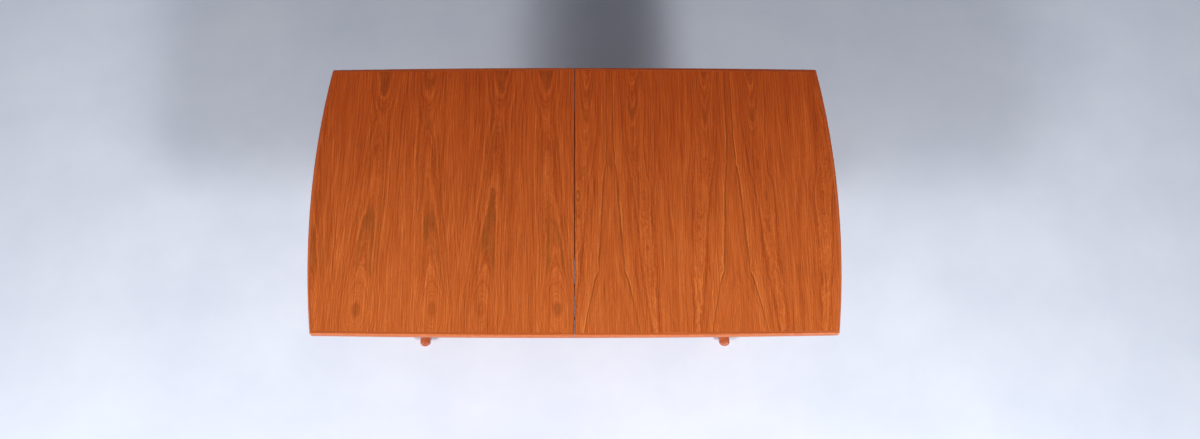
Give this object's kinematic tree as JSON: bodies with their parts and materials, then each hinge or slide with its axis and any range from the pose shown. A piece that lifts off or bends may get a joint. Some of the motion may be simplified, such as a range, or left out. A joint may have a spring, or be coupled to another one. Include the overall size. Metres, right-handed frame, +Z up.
{
  "type": "butterfly leaf dining table",
  "caption": "Bowed teak dining table on two trestles; the top parts at mid-length and runs out on rails over a leaf that is stored folded inside.",
  "frame": {"origin": "on the floor, under the centre of the closed table", "axes": "+X along the table's length, +Y from its front long side to its back long side, +Z up"},
  "size_m": [1.8, 0.98, 0.73],
  "materials": {
    "teak_veneer": "satin oiled veneer",
    "teak_lipping": "satin oiled solid wood",
    "teak_frame": "satin oiled solid wood",
    "beech": "satin lacquered solid wood",
    "dowel_wood": "plain",
    "nylon": "matte",
    "felt": "pressed felt",
    "zinc_steel": "zinc plated",
    "brass": "plain"
  },
  "bodies": {
    "base": {"cross_rail_left": "beech", "cross_rail_right": "beech", "foot_glides": "nylon", "leaf_rest_left": "beech", "leaf_rest_right": "beech", "pivot_block_left": "beech", "pivot_block_right": "beech", "rail_bolts": "zinc_steel", "rest_felts": "felt", "side_rail_back": "beech", "side_rail_front": "beech", "slide_stops": "beech", "stretcher": "teak_frame", "stretcher_block_left": "teak_frame", "stretcher_block_right": "teak_frame", "trestle_foot_left": "teak_frame", "trestle_foot_right": "teak_frame", "trestle_head_left": "teak_frame", "trestle_head_right": "teak_frame", "trestle_post_back_left": "teak_frame", "trestle_post_back_right": "teak_frame", "trestle_post_front_left": "teak_frame", "trestle_post_front_right": "teak_frame"},
    "top_left": {"lipping_back_left": "teak_lipping", "lipping_end_left": "teak_lipping", "lipping_front_left": "teak_lipping", "lock_plates": "zinc_steel", "runner_back_left": "beech", "runner_front_left": "beech", "runner_tie_left": "beech", "seam_dowels": "dowel_wood", "top_panel_left": "teak_veneer"},
    "top_right": {"lipping_back_right": "teak_lipping", "lipping_end_right": "teak_lipping", "lipping_front_right": "teak_lipping", "lock_keepers": "zinc_steel", "runner_back_right": "beech", "runner_front_right": "beech", "runner_tie_right": "beech", "top_panel_right": "teak_veneer"},
    "leaf": {"leaf_dowels": "dowel_wood", "leaf_edge_lower": "teak_lipping", "leaf_edge_upper": "teak_lipping", "leaf_hinge_bodies": "brass", "leaf_hinge_links": "brass", "leaf_panel_lower": "teak_veneer", "leaf_panel_upper": "teak_veneer", "pivot_brackets": "zinc_steel", "pivot_pins": "zinc_steel"},
    "lock_lever_front": {"lock_lever_front": "zinc_steel"},
    "lock_lever_back": {"lock_lever_back": "zinc_steel"}
  },
  "joints": [
    {"name": "left_top_slide", "type": "slide", "parent": "base", "child": "top_left", "axis": [-1, 0, 0], "range_m": [0, 0.262]},
    {"name": "right_top_slide", "type": "slide", "parent": "base", "child": "top_right", "axis": [1, 0, 0], "range_m": [0, 0.262]},
    {"name": "leaf_swing", "type": "hinge", "parent": "base", "child": "leaf", "pos_m": [0, -0.09575, 0.698], "axis": [1, 0, 0], "range_deg": [0, 1.8]},
    {"name": "front_lock", "type": "hinge", "parent": "top_left", "child": "lock_lever_front", "pos_m": [-0.024, -0.4, 0.7013], "axis": [0, 0, -1], "range_deg": [0, 90]},
    {"name": "back_lock", "type": "hinge", "parent": "top_left", "child": "lock_lever_back", "pos_m": [-0.024, 0.4, 0.7013], "axis": [0, 0, 1], "range_deg": [0, 90]}
  ]
}
